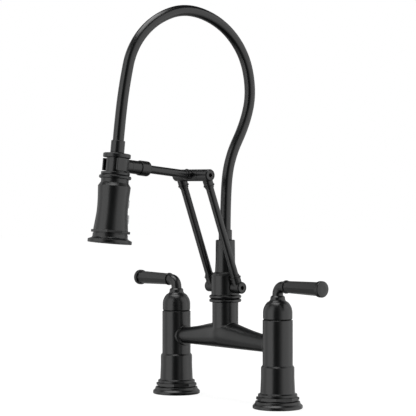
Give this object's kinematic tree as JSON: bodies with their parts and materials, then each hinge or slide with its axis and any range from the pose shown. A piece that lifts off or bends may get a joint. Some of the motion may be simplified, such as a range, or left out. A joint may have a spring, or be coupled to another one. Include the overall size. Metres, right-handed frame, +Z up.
{
  "type": "bridge kitchen faucet",
  "caption": "Deck-mounted bridge kitchen faucet with lever pillars, a swivelling articulated arm and a docked pull-off spray on an arched hose.",
  "frame": {"origin": "on the deck surface, midway between the two pillars and below the swivel's axis", "axes": "+X along the bridge towards the right lever, +Y away from the sink, +Z up"},
  "size_m": [0.369, 0.2533, 0.5569],
  "materials": {
    "black_coat": "matte black coat",
    "black_plastic": "matte black, matched to the metal",
    "brass": "machined",
    "steel": "plain",
    "black_rubber": "matte",
    "hose_rubber": "smooth satin",
    "grey_pad": "soft light grey",
    "face_plastic": "matte dark grey"
  },
  "bodies": {
    "bridge": {"deck_gaskets": "black_rubber", "base_flange_left": "black_coat", "base_flange_right": "black_coat", "base_sleeve_left": "black_coat", "base_sleeve_right": "black_coat", "valve_body_left": "black_coat", "valve_body_right": "black_coat", "inlet_shank_left": "brass", "inlet_shank_right": "brass", "mounting_washers": "steel", "mounting_nuts": "brass", "cartridge_left": "brass", "cartridge_right": "brass", "cartridge_nuts": "brass", "bridge_body": "black_coat", "bridge_collars": "black_coat", "bridge_seals": "black_rubber", "riser_ring": "black_coat", "swivel_spigot": "brass", "spigot_nut": "brass", "swivel_seals": "black_rubber"},
    "lever_left": {"handle_dome_left": "black_coat", "handle_elbow_left": "black_coat", "handle_grip_left": "black_coat", "valve_stem_left": "brass", "handle_screw_left": "steel"},
    "lever_right": {"handle_dome_right": "black_coat", "handle_elbow_right": "black_coat", "handle_grip_right": "black_coat", "valve_stem_right": "brass", "handle_screw_right": "steel"},
    "hub": {"swivel_hub": "black_coat", "hose_post": "black_coat", "post_ferrule": "black_coat", "lower_pivot_screws": "black_coat", "hose_rear": "hose_rubber"},
    "lower_arm": {"lower_barrel_left": "black_coat", "lower_barrel_right": "black_coat", "lower_rod_left": "black_coat", "lower_rod_right": "black_coat", "upper_barrel_left": "black_coat", "upper_barrel_right": "black_coat", "hose_crown": "hose_rubber"},
    "upper_arm": {"centre_barrel": "black_coat", "arm_tube": "black_coat", "crossbar_screws": "black_coat", "arm_nut": "black_coat", "dock_sleeve": "black_coat", "dock_cradle": "black_coat", "dock_magnet": "steel", "hose_front": "hose_rubber"},
    "spray": {"spray_ferrule": "black_coat", "spray_neck": "black_coat", "spray_shell": "black_plastic", "spray_core": "black_plastic", "spray_bezel": "black_plastic", "spray_face": "face_plastic"},
    "rocker": {"rocker_plate": "black_plastic", "rocker_pads": "grey_pad"}
  },
  "joints": [
    {"name": "lever_left_turn", "type": "hinge", "parent": "bridge", "child": "lever_left", "pos_m": [-0.1016, 0, 0.13], "axis": [0, 0, 1], "range_deg": [0, 90]},
    {"name": "lever_right_turn", "type": "hinge", "parent": "bridge", "child": "lever_right", "pos_m": [0.1016, 0, 0.13], "axis": [0, 0, 1], "range_deg": [-90, 0]},
    {"name": "swivel", "type": "hinge", "parent": "bridge", "child": "hub", "pos_m": [0, 0, 0.1346], "axis": [0, 0, 1], "continuous": true},
    {"name": "lower_arm_tilt", "type": "hinge", "parent": "hub", "child": "lower_arm", "pos_m": [0, 0, 0.1441], "axis": [1, 0, 0], "range_deg": [-14, 35], "deforming": ["hose_rear"]},
    {"name": "upper_arm_tilt", "type": "hinge", "parent": "lower_arm", "child": "upper_arm", "pos_m": [0, -0.05155, 0.28496], "axis": [1, 0, 0], "range_deg": [-40, 35], "deforming": ["hose_crown"]},
    {"name": "spray_release", "type": "slide", "parent": "upper_arm", "child": "spray", "axis": [0, -0.9945, 0.1045], "range_m": [0, 0.06], "deforming": ["hose_front"]},
    {"name": "rocker_tilt", "type": "hinge", "parent": "spray", "child": "rocker", "pos_m": [0, -0.15979, 0.24053], "axis": [1, 0, 0], "range_deg": [-4, 4]}
  ]
}
